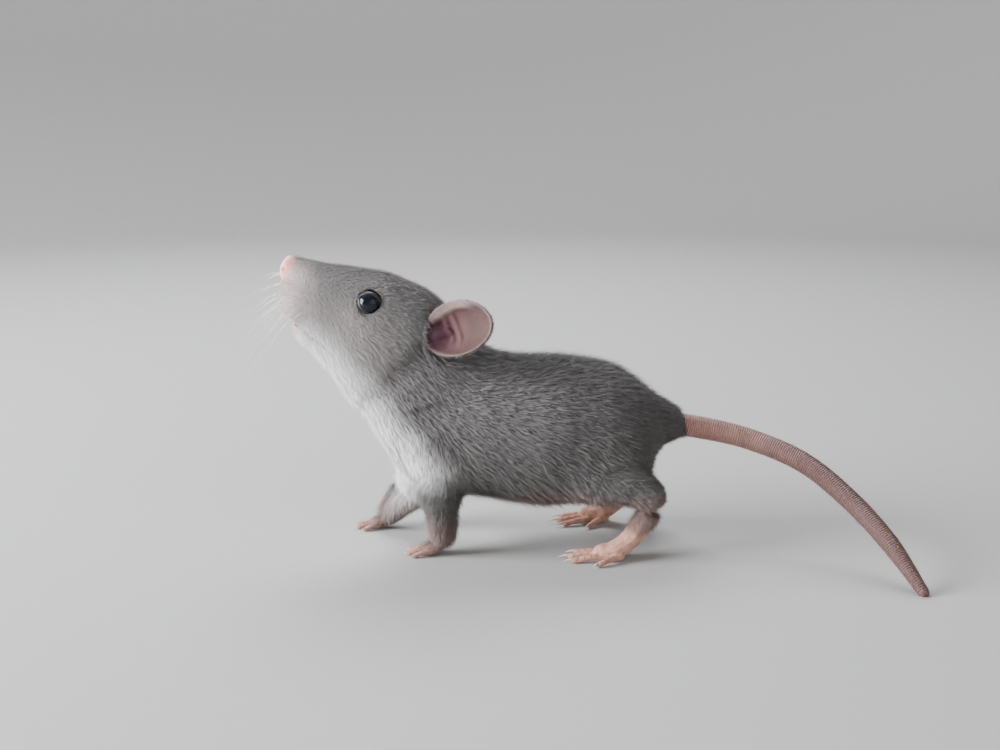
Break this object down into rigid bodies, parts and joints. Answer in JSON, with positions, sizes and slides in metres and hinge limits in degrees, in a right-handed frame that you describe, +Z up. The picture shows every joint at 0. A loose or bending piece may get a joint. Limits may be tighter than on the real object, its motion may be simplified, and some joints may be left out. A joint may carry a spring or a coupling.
{
  "type": "dumbo rat",
  "caption": "Life-size model of a young dumbo rat standing with its head raised, low round ears and a long bent tail.",
  "frame": {"origin": "on the floor, under the middle of the whole animal", "axes": "+Z up, the nose points along -X, the rat's left side faces -Y"},
  "size_m": [0.1348, 0.0558, 0.0644],
  "materials": {
    "fur": "short soft coat, grey-taupe above and pale on the throat",
    "bare_skin": "thin pink skin, nearly bare, with fine scales on the tail",
    "eye": "wet and black"
  },
  "bodies": {
    "root": {"ear_left": "bare_skin", "ear_right": "bare_skin", "eye_left": "eye", "eye_right": "eye", "forearm_left": "fur", "forearm_right": "fur", "forepaw_left": "bare_skin", "forepaw_right": "bare_skin", "head": "fur", "hind_foot_left": "bare_skin", "hind_foot_right": "bare_skin", "neck": "fur", "shank_left": "fur", "shank_right": "fur", "tail_base": "bare_skin", "tail_middle": "bare_skin", "tail_tip": "bare_skin", "thigh_left": "fur", "thigh_right": "fur", "torso": "fur", "upper_arm_left": "fur", "upper_arm_right": "fur"}
  },
  "joints": []
}
